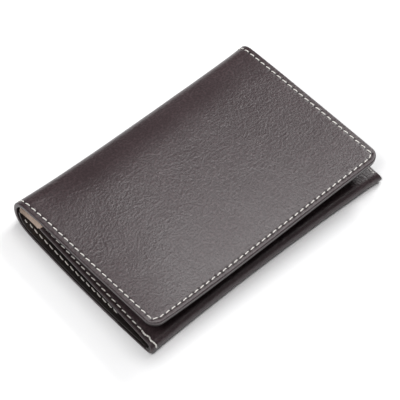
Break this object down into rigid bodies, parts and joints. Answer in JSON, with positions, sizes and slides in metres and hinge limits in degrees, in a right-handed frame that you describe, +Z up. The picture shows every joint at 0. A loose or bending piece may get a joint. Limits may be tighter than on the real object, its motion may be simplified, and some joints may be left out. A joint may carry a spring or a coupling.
{
  "type": "business card case",
  "caption": "Folding leather business card case, closed: rounded spine, contrast top-stitching, soft cover over a gusseted card pocket.",
  "frame": {"origin": "on the surface that the case lies on, under the middle of its box", "axes": "+X along the spine, +Y from the front edge to the spine, +Z up through the closed cover"},
  "size_m": [0.11, 0.0745, 0.0169],
  "materials": {
    "leather": "dark chocolate brown smooth leather with a fine grain, satin",
    "thin_leather": "thin dark brown leather, satin",
    "lining": "smooth beige lining leather, matt",
    "thread": "cream twisted polyester thread",
    "board": "bonded fibre board, matt"
  },
  "bodies": {
    "base": {"base_leather": "leather", "base_stiffener": "board", "base_lining": "lining", "left_gusset_base_flange": "thin_leather", "right_gusset_base_flange": "thin_leather", "base_left_thread": "thread", "base_right_thread": "thread"},
    "spine": {"spine_leather": "leather", "spine_lining": "lining", "spine_left_thread": "thread", "spine_right_thread": "thread"},
    "cover": {"cover_leather": "leather", "cover_stiffener": "board", "cover_lining": "lining", "cover_slip_pocket": "thin_leather", "cover_seam_thread": "thread"},
    "pocket": {"pocket_leather": "leather", "pocket_lining": "lining", "pocket_left_thread": "thread", "pocket_right_thread": "thread", "left_backtack": "thread", "right_backtack": "thread", "left_gusset_panel_flange": "thin_leather", "right_gusset_panel_flange": "thin_leather"},
    "left_lower_leaf": {"left_gusset_lower_leaf": "thin_leather"},
    "left_upper_leaf": {"left_gusset_upper_leaf": "thin_leather"},
    "right_lower_leaf": {"right_gusset_lower_leaf": "thin_leather"},
    "right_upper_leaf": {"right_gusset_upper_leaf": "thin_leather"}
  },
  "joints": [
    {"name": "spine_fold", "type": "hinge", "parent": "base", "child": "spine", "pos_m": [0, 0.03501, 0.00199], "axis": [-1, 0, 0], "range_deg": [-1.35, 88.65]},
    {"name": "cover_fold", "type": "hinge", "parent": "spine", "child": "cover", "pos_m": [0, 0.03501, 0.01161], "axis": [-1, 0, 0], "range_deg": [-1.35, 88.65]},
    {"name": "pocket_open", "type": "hinge", "parent": "base", "child": "pocket", "pos_m": [0, -0.03705, 0.00258], "axis": [1, 0, 0], "range_deg": [-0.07, 4.6]},
    {"name": "left_lower_leaf_turn", "type": "hinge", "parent": "base", "child": "left_lower_leaf", "pos_m": [-0.0516, -0.03705, 0.00258], "axis": [0, -1, 0], "range_deg": [-0.41, 26.7]},
    {"name": "left_upper_leaf_turn", "type": "hinge", "parent": "pocket", "child": "left_upper_leaf", "pos_m": [-0.0516, -0.03705, 0.00258], "axis": [0, 0.9962, 0.0872], "range_deg": [-0.41, 26.7]},
    {"name": "right_lower_leaf_turn", "type": "hinge", "parent": "base", "child": "right_lower_leaf", "pos_m": [0.0516, -0.03705, 0.00258], "axis": [0, 1, 0], "range_deg": [-0.41, 26.7]},
    {"name": "right_upper_leaf_turn", "type": "hinge", "parent": "pocket", "child": "right_upper_leaf", "pos_m": [0.0516, -0.03705, 0.00258], "axis": [0, -0.9962, -0.0872], "range_deg": [-0.41, 26.7]}
  ],
  "couplings": [
    {"joint": "cover_fold", "follows": "spine_fold", "ratio": 1},
    {"joint": "pocket_open", "follows": "spine_fold", "ratio": 0.05076},
    {"joint": "left_lower_leaf_turn", "follows": "spine_fold", "ratio": 0.2994},
    {"joint": "left_upper_leaf_turn", "follows": "spine_fold", "ratio": 0.2994},
    {"joint": "right_lower_leaf_turn", "follows": "spine_fold", "ratio": 0.2994},
    {"joint": "right_upper_leaf_turn", "follows": "spine_fold", "ratio": 0.2994}
  ]
}
